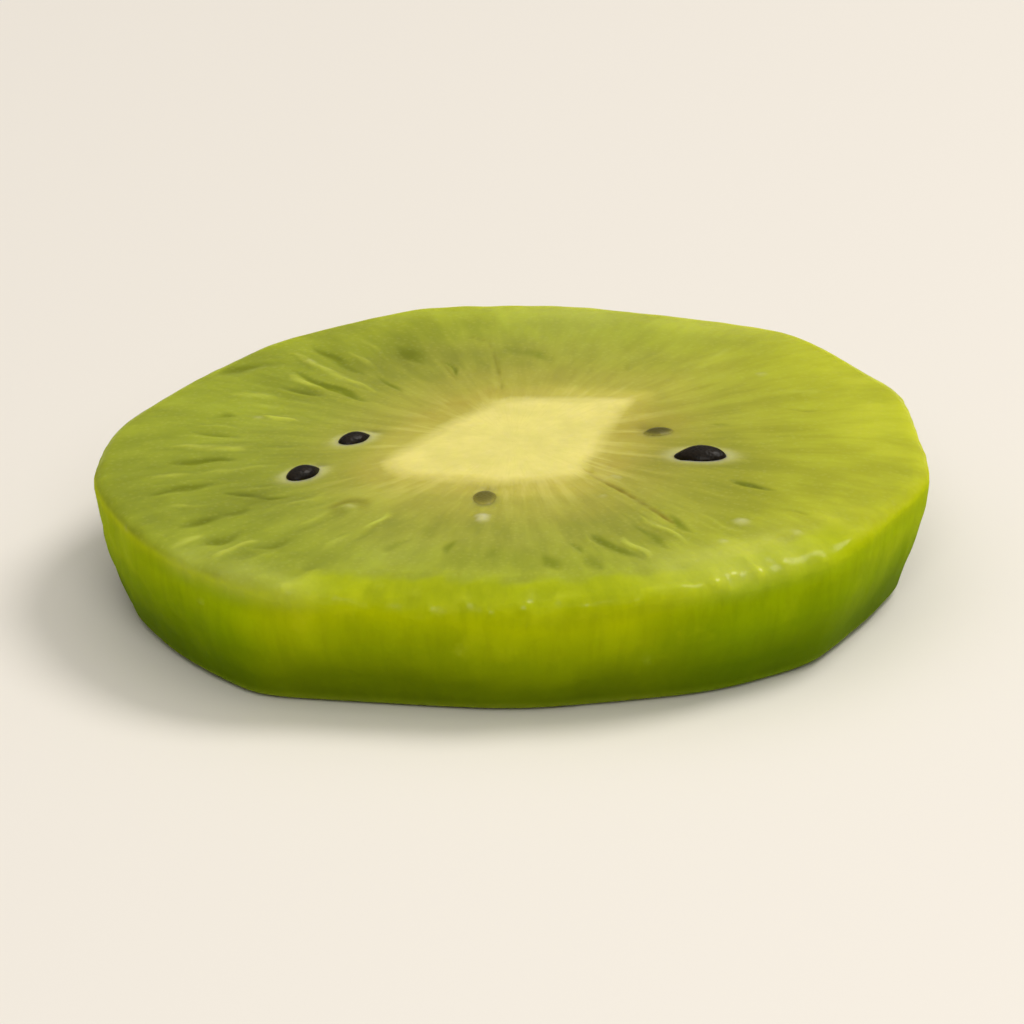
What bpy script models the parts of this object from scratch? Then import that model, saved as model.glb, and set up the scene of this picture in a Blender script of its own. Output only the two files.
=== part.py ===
"""A round slice of peeled kiwi fruit, lying on its lower cut face.

It is one piece. A half section is spun into a blank, and flat strokes of the peeling knife give
the blank its outline. The upper cut face gets its crown, the core that stands a little proud in
the middle and the radial ridges round it. The seeds that stand out of that face are then joined
on. Metres, +Z up, origin below the middle of the slice.
"""

import math

import bmesh
import bpy

MM = 0.001

THICKNESS = 8.8 * MM

# The knife's strokes: direction, distance from the fruit's axis halfway up the slice, and lean,
# by which a stroke reaches further out at the top than at the bottom.
PEEL_STROKES = (
    (math.radians(6), 24.2 * MM, math.radians(15)),
    (math.radians(35), 25.4 * MM, math.radians(15)),
    (math.radians(71), 24.8 * MM, math.radians(14)),
    (math.radians(90), 24.7 * MM, math.radians(13)),
    (math.radians(123), 23.7 * MM, math.radians(13)),
    (math.radians(147), 22.6 * MM, math.radians(14)),
    (math.radians(171), 23.9 * MM, math.radians(15)),
    (math.radians(197), 24.3 * MM, math.radians(16)),
    (math.radians(217), 24.3 * MM, math.radians(17)),
    (math.radians(240), 24.2 * MM, math.radians(8)),
    (math.radians(262), 21.2 * MM, math.radians(19)),
    (math.radians(283), 21.0 * MM, math.radians(19)),
    (math.radians(305), 22.3 * MM, math.radians(16)),
    (math.radians(335), 23.2 * MM, math.radians(16)),
)
STROKE_SHARPNESS = 42  # how crisp the corner between two strokes is
BELLY = 0.35 * MM  # how far the side swells out, halfway up

# The core's sides, as directions and distances from the fruit's axis.
CORE_SIDES = (
    (math.radians(-43), 5.5 * MM),
    (math.radians(-15), 5.0 * MM),
    (math.radians(90), 7.9 * MM),
    (math.radians(146), 5.0 * MM),
    (math.radians(197), 8.0 * MM),
    (math.radians(262), 5.0 * MM),
)
CORE_SHARPNESS = 24
CORE_RISE = 0.15 * MM

# The blank is a plain disc with rounded rims.
BLANK_RADIUS = 24 * MM
TOP_RIM = 0.9 * MM
BOTTOM_RIM = 0.8 * MM

# Places on a cut face are told by their share of the way from the axis to the side. The core
# ends at the same share in every direction.
CORE_SHARE = 0.3
CORE_STEP = 0.015
RIDGES_START = 0.46
RIDGES_FULL = 0.58
RIDGES_FADE = 0.82
RIDGES_END = 0.94

# Radial ridges stand between the seeds and the rim, highest on one side.
RIDGES = 56
RIDGE_HEIGHT = 0.26 * MM
RIDGE_UNEVENNESS = 0.4
HIGHEST_RIDGES = math.radians(190)

# The upper cut face falls away towards its rim, most of all where a stroke of the knife bit into
# its edge: direction, half width and depth of the bite.
CROWN = 0.25 * MM
SHOULDER_START = 0.85
SHOULDER_DROP = 0.25 * MM
BITES = (
    (math.radians(257), math.radians(16), 1.3 * MM),
    (math.radians(281), math.radians(9), 0.6 * MM),
    (math.radians(312), math.radians(17), 0.6 * MM),
)
BITE_START = 0.86
BITE_ROUNDING = 0.45

# How finely the half section is divided.
CORE_RINGS = 3
FLESH_RINGS = 13
RIM_RINGS = 5
SIDE_RINGS = 5
BOTTOM_RINGS = 3

# Seeds on the upper face: x, y, the turn of the pointed end from +X, length, and how far they
# stand out of the flesh.
SEEDS = (
    (-9.5 * MM, 1.7 * MM, math.radians(40), 2.2 * MM, 0.40 * MM),
    (-12.5 * MM, -3.8 * MM, math.radians(45), 2.4 * MM, 0.45 * MM),
    (-1.6 * MM, -7.4 * MM, math.radians(84), 2.4 * MM, 0.20 * MM),
    (8.8 * MM, 2.9 * MM, math.radians(200), 2.1 * MM, 0.18 * MM),
    (11.4 * MM, -0.8 * MM, math.radians(176), 3.0 * MM, 0.50 * MM),
)
SEED_WIDTH = 0.6  # of its length
SEED_HEIGHT = 0.45
SEED_TAPER = 0.45
SEED_SIDES = 6
SEED_BANDS = 4

FLESH_COLOUR = (0.33, 0.40, 0.04, 1.0)
FLESH_ROUGHNESS = 0.35


def clear_scene():
    for obj in list(bpy.data.objects):
        bpy.data.objects.remove(obj, do_unlink=True)


def smoothstep(start, end, value):
    share = min(max((value - start) / (end - start), 0.0), 1.0)
    return share * share * (3 - 2 * share)


def nearest_side(angle, sides, sharpness):
    """Distance from the axis to the nearest of some straight sides, with softened corners."""
    reaches = []
    for direction, distance in sides:
        facing = math.cos(angle - direction)
        if facing > 0.05:
            reaches.append(distance / facing)
    nearest = min(reaches)
    crowding = sum((nearest / reach) ** sharpness for reach in reaches)
    return nearest * crowding ** (-1 / sharpness)


def outline_radius(angle, height):
    """Distance from the axis to the peeled side."""
    leaned = [
        (direction, distance + math.tan(lean) * (height - THICKNESS / 2))
        for direction, distance, lean in PEEL_STROKES
    ]
    belly = BELLY * math.sin(math.pi * height / THICKNESS)
    return nearest_side(angle, leaned, STROKE_SHARPNESS) + belly


def core_radius(angle):
    return nearest_side(angle, CORE_SIDES, CORE_SHARPNESS)


def radius_at(share, angle, height):
    """Where a share of the way from the axis to the side lies."""
    core = core_radius(angle)
    if share < CORE_SHARE:
        return core * share / CORE_SHARE
    outside = (share - CORE_SHARE) / (1 - CORE_SHARE)
    return core + (outline_radius(angle, height) - core) * outside


def share_at(radius, angle):
    """The share of the way to the side at which a place on the upper face lies."""
    core = core_radius(angle)
    if radius < core:
        return CORE_SHARE * radius / core
    outside = (radius - core) / (outline_radius(angle, THICKNESS) - core)
    return CORE_SHARE + (1 - CORE_SHARE) * outside


def bite_depth(angle):
    """How much further the rim of the upper face was cut away in one direction."""
    total = 0.0
    for direction, half_width, depth in BITES:
        away = (angle - direction + math.pi) % math.tau - math.pi
        total += depth * math.exp(-((away / half_width) ** 2))
    return total


def bite_reach(share):
    """A bite slopes from its start on, and more and more towards the rim."""
    out = min(max((share - BITE_START) / (1 - BITE_START), 0.0), 1.0)
    return out * (1 - BITE_ROUNDING + BITE_ROUNDING * out)


def fall_at(share, angle):
    """How far the upper face has fallen away at one place."""
    shoulder = SHOULDER_DROP * smoothstep(SHOULDER_START, 1, share)
    return CROWN * share**2 + shoulder + bite_depth(angle) * bite_reach(share)


def core_rise(share):
    return CORE_RISE * (1 - smoothstep(CORE_SHARE - CORE_STEP, CORE_SHARE + CORE_STEP, share))


def ridge_height(angle, share):
    """Every second column of points on the upper face is a ridge, and the rest are furrows."""
    column = round(angle / math.pi * RIDGES)
    side = 1 if column % 2 else -1
    strength = 1 - RIDGE_UNEVENNESS * (1 - math.cos(angle - HIGHEST_RIDGES))
    rise = smoothstep(RIDGES_START, RIDGES_FULL, share)
    fade = smoothstep(RIDGES_FADE, RIDGES_END, share)
    return side * RIDGE_HEIGHT / 2 * strength * rise * (1 - fade)


def half_section():
    """Points (radius, height) of the blank, from the middle of its top to that of its bottom."""
    flat_top = 1 - TOP_RIM / BLANK_RADIUS
    inner = CORE_SHARE - CORE_STEP
    outer = CORE_SHARE + CORE_STEP
    shares = [inner * i / CORE_RINGS for i in range(CORE_RINGS)]
    shares += [inner, CORE_SHARE]
    shares += [outer + (flat_top - outer) * i / FLESH_RINGS for i in range(FLESH_RINGS)]
    points = [(BLANK_RADIUS * share, THICKNESS) for share in shares]
    for i in range(RIM_RINGS):
        turn = math.pi / 2 * i / RIM_RINGS
        out = BLANK_RADIUS - TOP_RIM * (1 - math.sin(turn))
        points.append((out, THICKNESS - TOP_RIM * (1 - math.cos(turn))))
    side_height = THICKNESS - TOP_RIM - BOTTOM_RIM
    for i in range(SIDE_RINGS):
        points.append((BLANK_RADIUS, BOTTOM_RIM + side_height * (1 - i / SIDE_RINGS)))
    for i in range(RIM_RINGS):
        turn = math.pi / 2 * i / RIM_RINGS
        out = BLANK_RADIUS - BOTTOM_RIM * (1 - math.cos(turn))
        points.append((out, BOTTOM_RIM * (1 - math.sin(turn))))
    flat_bottom = BLANK_RADIUS - BOTTOM_RIM
    points += [(flat_bottom * (1 - i / BOTTOM_RINGS), 0.0) for i in range(BOTTOM_RINGS + 1)]
    return points


def spun_blank():
    """The half section turned round the fruit's axis, one column of points for each ridge side."""
    bm = bmesh.new()
    points = [bm.verts.new((radius, 0.0, height)) for radius, height in half_section()]
    for first, second in zip(points, points[1:]):
        bm.edges.new((first, second))
    bmesh.ops.spin(
        bm,
        geom=bm.verts[:] + bm.edges[:],
        cent=(0, 0, 0),
        axis=(0, 0, 1),
        angle=math.tau,
        steps=2 * RIDGES,
        use_merge=True,
    )
    bmesh.ops.remove_doubles(bm, verts=bm.verts[:], dist=1e-6)
    bmesh.ops.recalc_face_normals(bm, faces=bm.faces[:])
    return bm


def shape_point(point):
    """Moves one point of the blank to its place on the slice."""
    angle = math.atan2(point.y, point.x) % math.tau
    share = math.hypot(point.x, point.y) / BLANK_RADIUS
    on_top = point.z > THICKNESS - TOP_RIM / 2
    height = point.z * (1 - fall_at(share, angle) / THICKNESS)
    if on_top:
        height += ridge_height(angle, share) + core_rise(share)
    radius = radius_at(share, angle, height)
    point.x = radius * math.cos(angle)
    point.y = radius * math.sin(angle)
    point.z = height


def material(name, colour, roughness):
    made = bpy.data.materials.new(name)
    made.use_nodes = True
    shader = made.node_tree.nodes["Principled BSDF"]
    shader.inputs["Base Color"].default_value = colour
    shader.inputs["Roughness"].default_value = roughness
    made.diffuse_color = colour
    return made


def make_flesh():
    """The slice without its seeds."""
    bm = spun_blank()
    for vert in bm.verts:
        shape_point(vert.co)
    mesh = bpy.data.meshes.new("kiwi_slice")
    bm.to_mesh(mesh)
    bm.free()
    flesh = bpy.data.objects.new("kiwi_slice", mesh)
    bpy.context.scene.collection.objects.link(flesh)
    flesh.data.materials.append(material("kiwi_flesh", FLESH_COLOUR, FLESH_ROUGHNESS))
    return flesh


def make_seed(number, collection, x, y, turn, length, stands_out):
    """A flat drop-shaped seed, sunk into the upper face so that only its back stands out."""
    bm = bmesh.new()
    bmesh.ops.create_uvsphere(bm, u_segments=SEED_SIDES, v_segments=SEED_BANDS, radius=length / 2)
    for vert in bm.verts:
        taper = 1 - SEED_TAPER * max(vert.co.x, 0) / (length / 2)
        vert.co.y *= SEED_WIDTH * taper
        vert.co.z *= SEED_HEIGHT * taper
    mesh = bpy.data.meshes.new(f"seed_{number}")
    bm.to_mesh(mesh)
    bm.free()
    seed = bpy.data.objects.new(f"seed_{number}", mesh)
    angle = math.atan2(y, x)
    face_height = THICKNESS - fall_at(share_at(math.hypot(x, y), angle), angle)
    seed.location = (x, y, face_height + stands_out - SEED_HEIGHT * length / 2)
    seed.rotation_euler = (0, 0, turn)
    collection.objects.link(seed)


def join_seeds(flesh):
    """One Boolean union makes the flesh and its seeds one solid."""
    seeds = bpy.data.collections.new("seeds")
    bpy.context.scene.collection.children.link(seeds)
    for number, seed in enumerate(SEEDS):
        make_seed(number, seeds, *seed)
    union = flesh.modifiers.new("seeds", "BOOLEAN")
    union.operation = "UNION"
    union.operand_type = "COLLECTION"
    union.collection = seeds
    bpy.context.view_layer.objects.active = flesh
    bpy.ops.object.modifier_apply(modifier=union.name)
    for seed in list(seeds.objects):
        bpy.data.objects.remove(seed, do_unlink=True)
    bpy.data.collections.remove(seeds)


def centre_over_origin(obj):
    """Puts the middle of the slice's box over the origin. It already stands on z = 0."""
    points = obj.data.vertices
    for axis in (0, 1):
        places = [point.co[axis] for point in points]
        middle = (min(places) + max(places)) / 2
        for point in points:
            point.co[axis] -= middle


def main():
    clear_scene()
    flesh = make_flesh()
    join_seeds(flesh)
    centre_over_origin(flesh)
    flesh.data.shade_smooth()
    flesh.data.set_sharp_from_angle(angle=math.radians(40))


main()
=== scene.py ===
"""Looks of the kiwi slice: wet flesh with its pale core, and seeds.

The flesh is turned on a lathe from a half section, cut to the outline of the peeling knife, and
given the relief of its cut faces. Its colours come from nodes that read what the relief leaves on
the mesh. Sizes are in metres, +Z up, with the origin below the middle of the slice.
"""

import math

import bmesh
import bpy
import numpy as np
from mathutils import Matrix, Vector


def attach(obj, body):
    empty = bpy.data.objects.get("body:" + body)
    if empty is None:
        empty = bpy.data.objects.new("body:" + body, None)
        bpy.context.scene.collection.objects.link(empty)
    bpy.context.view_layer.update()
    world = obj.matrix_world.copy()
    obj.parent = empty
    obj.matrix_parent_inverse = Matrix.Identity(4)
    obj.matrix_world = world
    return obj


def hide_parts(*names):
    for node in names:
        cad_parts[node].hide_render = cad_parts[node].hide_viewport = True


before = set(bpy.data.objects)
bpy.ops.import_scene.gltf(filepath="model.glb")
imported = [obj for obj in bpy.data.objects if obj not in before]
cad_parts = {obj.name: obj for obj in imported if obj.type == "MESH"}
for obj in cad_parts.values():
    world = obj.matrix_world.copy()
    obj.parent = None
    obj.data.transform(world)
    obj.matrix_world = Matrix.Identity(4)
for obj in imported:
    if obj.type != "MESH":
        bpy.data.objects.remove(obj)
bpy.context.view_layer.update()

MM = 0.001

# Sizes that the solid has too. All tables are in millimetres and degrees.
THICKNESS = 8.8 * MM
# The knife's strokes: direction, distance from the fruit's axis halfway up the slice, and lean,
# by which a stroke reaches further out at the top than at the bottom.
PEEL_STROKES = (
    (6, 24.2, 15),
    (35, 25.4, 15),
    (71, 24.8, 14),
    (90, 24.7, 13),
    (123, 23.7, 13),
    (147, 22.6, 14),
    (171, 23.9, 15),
    (197, 24.3, 16),
    (217, 24.3, 17),
    (240, 24.2, 8),
    (262, 21.2, 19),
    (283, 21.0, 19),
    (305, 22.3, 16),
    (335, 23.2, 16),
)
STROKE_SHARPNESS = 42  # how crisp the corner between two strokes is
BELLY = 0.35 * MM  # how far the side swells out, halfway up
# The core's sides, as directions and distances from the fruit's axis.
CORE_SIDES = (
    (-43, 5.5),
    (-15, 5.0),
    (90, 7.9),
    (146, 5.0),
    (197, 8.0),
    (262, 5.0),
)
CORE_SHARPNESS = 24
CORE_RISE = 0.12 * MM  # a little less than the solid's, which has a sharper step
BLANK_RADIUS = 24 * MM
TOP_RIM = 0.9 * MM
BOTTOM_RIM = 0.8 * MM
# Places on a cut face are told by their share of the way from the axis to the side.
CORE_SHARE = 0.3
# The upper face falls away towards its rim,
CROWN = 0.25 * MM
SHOULDER_START = 0.85
SHOULDER_DROP = 0.25 * MM
# most of all where the knife bit into its edge: direction, half width and depth of each bite.
BITES = (
    (257, 16, 1.3),
    (281, 9, 0.6),
    (312, 17, 0.6),
)
BITE_START = 0.86
BITE_ROUNDING = 0.45
FULL_BITE = 0.9 * MM  # past this depth, the rim is drawn in as far as it goes
SLIGHT_BITE = 0.35 * MM  # past this depth, the rim's slope is peeled flesh and no cut face
RIM_INSET = 0.15  # how far the rim is drawn in, in millimetres
BITTEN_INSET = 0.75  # how much further at a full bite
# The middle of the solid's box, over which the origin lies, measured from the fruit's axis.
BOX_MIDDLE = (0.02 * MM, 1.68 * MM)
# Places on the cut faces, except for seeds of the upper one, are told from this point.
FACE_MIDDLE = (0.07 * MM, 0.91 * MM)

# How finely the half section is divided, and how many columns it is turned into.
CORE_RINGS = 20
FLESH_RINGS = 56
RIM_RINGS = 9
SIDE_RINGS = 18
BOTTOM_RINGS = 28
COLUMNS = 660

# Furrows and ridges of the upper face that catch the eye: outer end, inner end, half width and
# height. A furrow's height is below nothing.
STREAKS = (
    ((-18.6, 12.0), (-13.9, 14.3), 0.72, -0.22),
    ((-14.2, 12.9), (-8.5, 6.9), 0.46, -0.24),
    ((-14.5, 9.8), (-11.1, 8.0), 0.52, -0.28),
    ((-12.4, 16.8), (-9.1, 11.2), 0.42, -0.22),
    ((-9.3, 14.6), (-6.6, 8.0), 0.42, -0.22),
    ((-7.2, 16.6), (-5.5, 13.0), 0.53, -0.18),
    ((-4.3, 14.0), (-3.2, 11.2), 0.22, -0.20),
    ((-0.9, 16.4), (2.8, 13.6), 0.81, -0.14),
    ((6.6, 13.9), (7.1, 11.4), 0.31, -0.12),
    ((-18.7, 4.8), (-16.7, 4.6), 0.41, -0.20),
    ((-19.4, 2.1), (-16.3, 1.3), 0.43, -0.20),
    ((-21.0, -2.6), (-16.6, -2.0), 0.56, -0.26),
    ((-21.8, -7.5), (-17.6, -6.1), 0.56, -0.24),
    ((-17.8, -7.8), (-13.6, -8.2), 0.45, -0.20),
    ((-20.1, -12.8), (-17.2, -11.2), 0.50, -0.30),
    ((-18.3, -11.4), (-15.4, -9.7), 0.41, -0.16),
    ((-18.8, -15.5), (-15.8, -13.1), 0.54, -0.24),
    ((-15.4, -16.3), (-12.9, -14.3), 0.56, -0.24),
    ((-13.8, -19.6), (-11.2, -18.6), 0.40, -0.16),
    ((-7.9, -16.8), (-5.9, -14.6), 0.50, -0.12),
    ((-4.4, -17.2), (-3.2, -14.8), 0.43, -0.12),
    ((-1.9, -18.3), (-0.6, -15.9), 0.37, -0.12),
    ((3.1, -19.9), (1.5, -16.4), 0.76, -0.17),
    ((4.2, -17.2), (3.1, -14.6), 0.30, -0.18),
    ((5.2, -19.4), (4.2, -17.2), 0.42, -0.14),
    ((8.0, -18.2), (4.1, -13.6), 0.62, -0.20),
    ((9.4, -16.6), (7.2, -12.3), 0.56, -0.19),
    ((11.0, -14.1), (8.8, -10.6), 0.46, -0.17),
    ((16.0, -7.3), (12.5, -5.2), 0.36, -0.20),
    ((13.5, 3.2), (11.6, 3.3), 0.26, -0.10),
    ((19.4, 6.2), (16.4, 5.7), 0.30, -0.10),
    ((17.8, -10.6), (15.7, -10.0), 0.32, -0.10),
    ((-14.1, 16.0), (-8.2, 7.9), 0.38, 0.26),
    ((-14.2, 11.8), (-11.3, 9.0), 0.38, 0.20),
    ((-15.2, 4.9), (-13.1, 3.5), 0.31, 0.26),
    ((-10.4, 15.6), (-6.9, 9.5), 0.38, 0.22),
    ((-17.8, 8.4), (-13.8, 7.7), 0.72, 0.14),
    ((-21.2, 0.1), (-15.4, -1.0), 0.41, 0.20),
    ((-19.2, 3.4), (-16.6, 3.0), 0.32, 0.14),
    ((-21.9, -5.0), (-19.0, -4.4), 0.41, 0.16),
    ((-20.9, -9.9), (-16.2, -9.0), 0.45, 0.14),
    ((-20.6, -15.5), (-17.9, -13.6), 0.38, 0.18),
    ((-18.2, -17.8), (-14.8, -14.5), 0.36, 0.22),
    ((-11.4, -16.8), (-9.6, -13.6), 0.34, 0.12),
    ((-9.0, -13.9), (-7.2, -10.4), 0.25, 0.16),
    ((5.0, -16.4), (4.0, -13.4), 0.21, 0.18),
    ((8.6, -18.6), (6.4, -14.0), 0.30, 0.24),
    ((10.6, -15.8), (7.4, -11.2), 0.32, 0.24),
    ((13.6, -13.9), (11.2, -10.8), 0.31, 0.14),
    ((15.4, -18.8), (13.6, -16.6), 0.34, 0.18),
    ((19.8, 8.8), (16.2, 8.4), 0.50, 0.12),
    ((13.6, 16.2), (11.9, 13.9), 0.37, 0.12),
)

# Smaller streaks fill the ring between the seeds and the rim: how many, and their height.
TOP_FILLING = (74, 0.12)
BOTTOM_FILLING = (110, 0.16)
STRONGEST_STREAKS = math.radians(190)
STREAK_DEPTH = 0.6  # how much of a streak's height is cut into the face
STREAK_WANDER = 0.2  # how far streaks stray from a clean lens, in millimetres
DEEPEST_STREAK = 0.2  # in millimetres: one whose colour is at full strength

# Cracks: points, half width, depth, and how much they have browned.
CRACKS = (
    (((4.4, -4.4), (5.2, -5.7), (6.2, -7.0), (8.1, -9.9), (9.4, -12.0)), 0.18, 0.13, 1.0),
    (((-0.65, 8.2), (-0.75, 10.6), (-1.0, 13.4), (-1.5, 17.2), (-2.5, 17.9)), 0.12, 0.07, 0.2),
    (((-3.4, 10.6), (-4.4, 13.8)), 0.12, 0.06, 0.2),
)
CRACK_LIP = 0.04  # height of a crack's raised edges, in millimetres

# Seeds on the upper face: x, y, the turn of the pointed end from +X, length, how far they stand
# out, and how much of the flesh's own film lies over them. Places are from the fruit's axis.
TOP_SEEDS = (
    (-9.5, 1.7, 40, 2.3, 0.44, 0.0),
    (-12.5, -3.8, 45, 2.5, 0.50, 0.0),
    (-1.6, -7.4, 84, 3.2, 0.22, 0.46),
    (8.8, 2.9, 200, 2.5, 0.22, 0.26),
    (11.4, -0.8, 176, 3.1, 0.56, 0.0),
)
SEED_COLLAR = 0.05  # height of the flesh pushed up round a seed, in millimetres
# A socket that has lost its seed has a raised middle with a furrow round it.
EMPTY_SOCKET = (-9.7, -10.2)
SOCKET_FURROW = math.radians(105)  # the side on which the furrow is deepest
SOCKET_RISE = 0.10  # in millimetres
SOCKET_DEPTH = 0.12
# Hollows behind half-buried seeds: x, y, reach and depth.
PITS = (
    (-1.6, -6.9, 0.65, 0.16),
    (8.2, 2.8, 0.9, 0.18),
    (10.0, -1.9, 0.6, 0.15),
    (-8.4, 2.3, 0.5, 0.15),
    (-11.6, -3.2, 0.5, 0.15),
)
BLACK_PIT = 0.4  # a hollow as deep as this gets the darkest painted shade
# Browned or yellowed patches round the core: x, y, reach and strength.
STAINS = (
    (-5.3, 4.4, 1.1, 0.6),
    (-3.4, 6.6, 1.3, 0.8),
    (-1.4, 8.4, 1.0, 0.5),
    (8.3, 3.6, 2.3, 0.6),
    (7.6, 0.4, 1.9, 0.5),
    (5.9, -3.2, 1.2, 0.8),
    (2.0, -6.4, 1.3, 0.3),
    (-8.6, -4.6, 1.4, 0.3),
)
# Lighter and darker patches of the upper face: x, y, reach, and how much lighter they are.
PATCHES = (
    (-17.5, 5.0, 5.0, 0.22),
    (6.0, 14.5, 5.0, 0.14),
    (10.5, 9.5, 3.0, 0.08),
    (10.5, -1.5, 4.5, -0.20),
    (12.5, -7.0, 3.6, -0.14),
    (-6.5, 15.5, 3.0, -0.20),
    (-0.5, 13.0, 3.6, -0.14),
    (-15.5, -7.5, 2.6, -0.12),
    (12.5, -16.5, 3.6, 0.16),
    (-7.5, -18.0, 2.6, 0.12),
    (-7.2, -7.4, 2.0, 0.12),
)
# Painted highlights on stretches of the wet rim: x, y, reach and strength.
RIM_HIGHLIGHTS = (
    (9.5, -18.6, 2.4, 0.16),
    (13.2, -17.8, 2.4, 0.26),
    (16.3, -15.4, 2.4, 0.20),
    (-7.0, -17.0, 2.4, 0.08),
    (-13.2, -21.2, 1.9, 0.26),
    (-16.6, -19.8, 1.9, 0.26),
    (-19.6, -16.9, 1.7, 0.18),
    (4.0, 23.0, 5.0, 0.20),
    (13.0, 20.5, 4.0, 0.14),
)
# Seeds cut level with the lower face: x, y, the turn of the pointed end, and length.
BOTTOM_SEEDS = (
    (9.8, 4.6, 205, 2.3),
    (4.4, 11.4, 250, 2.5),
    (-6.9, 9.3, 305, 2.2),
    (-12.4, 2.0, 352, 2.4),
    (-9.9, -7.6, 40, 2.3),
    (1.6, -10.4, 96, 2.6),
    (10.2, -6.8, 146, 2.2),
)
# Wet bumps of the rim: the direction and height that they are seen at, and their half width.
RIM_BUMPS = (
    (262.7, 7.6, 0.60),
    (254.6, 7.8, 0.45),
    (248.9, 8.0, 0.40),
    (257.5, 7.2, 0.35),
    (243.5, 7.7, 0.30),
    (236.8, 7.9, 0.70),
    (266.5, 7.2, 0.32),
    (271.7, 7.5, 0.60),
    (277.0, 7.8, 0.40),
    (281.5, 7.4, 0.30),
    (289.0, 7.6, 0.45),
    (296.0, 7.5, 0.30),
    (301.7, 7.9, 0.65),
    (303.4, 7.4, 0.34),
    (305.2, 8.0, 0.50),
    (309.5, 7.8, 0.55),
    (314.0, 8.0, 0.30),
    (320.4, 7.6, 0.34),
    (228.0, 8.0, 0.45),
    (206.0, 8.0, 0.40),
    (146.0, 7.7, 0.50),
    (112.0, 6.9, 0.34),
    (61.0, 7.6, 0.55),
    (38.0, 6.4, 0.34),
    (22.0, 7.6, 0.45),
    (224.0, 5.9, 0.34),
    (262.0, 4.6, 0.36),
    (291.0, 3.4, 0.40),
    (176.0, 5.6, 0.34),
)
# Wet bumps of the upper face: x, y, half width, and how white their painted glint is.
FACE_BUMPS = (
    (-1.8, -11.4, 0.62, 1.0),
    (-1.8, -11.9, 0.55, 1.0),
    (-9.7, -10.2, 0.50, 0.35),
    (13.6, -12.0, 0.65, 0.7),
    (-15.4, 4.4, 0.40, 0.3),
    (6.2, -5.4, 0.36, 0.5),
    (5.4, -8.3, 0.34, 0.3),
    (-12.4, 13.6, 0.40, 0.3),
    (15.2, 11.4, 0.42, 0.3),
    (12.5, -15.1, 0.42, 0.5),
    (16.9, -13.5, 0.45, 0.4),
)
BUMP_RISE = 0.22  # of a bump's half width

# Waves that make up soft unevenness: how many, and their longest and shortest pitch.
WANDER_WAVES = (6, 5.0, 1.4)
SWELL_WAVES = (7, 14, 5)
LUMP_WAVES = (9, 2.8, 0.9)
RIM_EDGE_WAVES = (7, 3.4, 0.8)
CRACK_GAP_WAVES = (5, 2.6, 1.0)
DENT_WAVES = (6, 9, 3)
SMALL_DENT_WAVES = (9, 3.2, 1.2)
# Their heights in millimetres.
SWELL_HEIGHT = 0.05
LUMP_HEIGHT = 0.07
DENT_HEIGHT = 0.05
SMALL_DENTS = 0.45  # of the others
RIM_EDGE_WANDER = 0.008  # as a share of the way to the side
UNDERSIDE_RELIEF = 0.05
UNDERSIDE_SEED_RISE = 0.28

SEED_WIDTH = 0.6  # of its length
SEED_HEIGHT = 0.45
SEED_TAPER = 0.45  # how much narrower the pointed end is
SEED_POINT = 0.03  # how much further out it is
SEED_SIDES = 28
SEED_RINGS = 20
SEEDS_FACE = THICKNESS - CROWN * 0.25  # height of the upper face among the seeds
FILM_EDGE = THICKNESS - 0.05 * MM  # below this height, a film of flesh hides its seed
SEED_CLEARANCE = 0.02 * MM  # between the lower seeds and what the slice lies on

# The camera looks along +Y from the height that the photograph was taken from.
CAMERA_ELEVATION = math.radians(22.4)
CAMERA_DISTANCE = 0.75
CAMERA_AIM = 4.0 * MM
FRAME_WIDTH = 62 * MM
SENSOR = 36.0
FLOOR_SIZE = 6
FLOOR_GAP = 0.02 * MM
# Soft round lights: place, width, power and colour.
LIGHTS = {
    "key": ((0.30, 0.12, 0.48), 0.26, 1.6, (1.0, 0.97, 0.92)),
    "front": ((0.04, -0.54, 0.38), 0.34, 1.45, (1.0, 0.98, 0.94)),
}
LIGHT_AIM = (0, 0, 5 * MM)
# The sky's two colours, and how high up each is reached, as a sine.
HORIZON = (0.35, (0.17, 0.165, 0.155, 1))
OVERHEAD = (0.95, (0.85, 0.82, 0.78, 1))


# -------------------------------- shape of the flesh


def smoothstep(start, end, value):
    share = np.clip((value - start) / (end - start), 0, 1)
    return share * share * (3 - 2 * share)


def fading(distance, reach):
    """1 at no distance, and nearly nothing at twice the reach."""
    return np.exp(-((distance / reach) ** 2))


def nearest_side(angle, sides, sharpness):
    """Distance from the axis to the nearest of some straight sides, with softened corners."""
    reaches = [
        far / np.maximum(np.cos(angle - math.radians(turn)), 0.05) for turn, far in sides
    ]
    nearest = np.min(reaches, axis=0)
    crowding = sum((nearest / reach) ** sharpness for reach in reaches)
    return nearest * crowding ** (-1 / sharpness)


def outline_radius(angle, height):
    """Distance from the axis to the peeled side."""
    leaned = [
        (turn, far * MM + math.tan(math.radians(lean)) * (height - THICKNESS / 2))
        for turn, far, lean in PEEL_STROKES
    ]
    belly = BELLY * np.sin(math.pi * np.clip(height / THICKNESS, 0, 1))
    return nearest_side(angle, leaned, STROKE_SHARPNESS) + belly


def radius_at(share, angle, height):
    """Where a share of the way from the axis to the side lies."""
    core = nearest_side(angle, CORE_SIDES, CORE_SHARPNESS) * MM
    outside = (share - CORE_SHARE) / (1 - CORE_SHARE)
    beyond = core + (outline_radius(angle, height) - core) * outside
    return np.where(share < CORE_SHARE, core * share / CORE_SHARE, beyond)


def bite_depth(angle):
    """How much further the rim of the upper face was cut away in one direction."""
    total = np.zeros_like(angle)
    for direction, half_width, depth in BITES:
        away = (angle - math.radians(direction) + math.pi) % math.tau - math.pi
        total += depth * MM * fading(away, math.radians(half_width))
    return total


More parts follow.
